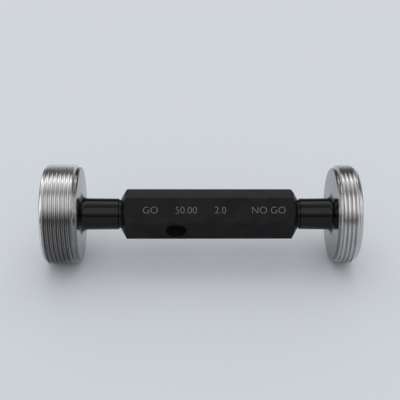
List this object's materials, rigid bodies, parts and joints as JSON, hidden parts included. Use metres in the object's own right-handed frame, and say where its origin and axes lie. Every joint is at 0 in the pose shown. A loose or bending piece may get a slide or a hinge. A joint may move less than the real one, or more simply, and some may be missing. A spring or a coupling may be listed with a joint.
{
  "type": "thread plug gauge",
  "caption": "Double-ended go and no-go plug gauge for a metric internal thread: threaded heads on taper shanks in a hexagon handle with a drift hole.",
  "frame": {"origin": "centre of the GO member's outer face, on the gauge's axis, where the gauge stands", "axes": "+Z along the gauge's axis from the GO end to the NOT GO end; the handle's marked flat faces -Y; the drift hole opens towards +X and -Y, 60 degrees round from the marked flat"},
  "size_m": [0.05, 0.05, 0.1555],
  "materials": {
    "black_oxide_bar": "satin black oxide",
    "ground_steel": "ground and lapped, neck and fillet black oxide"
  },
  "bodies": {
    "root": {"handle": "black_oxide_bar", "go_member": "ground_steel", "no_go_member": "ground_steel"}
  },
  "joints": []
}
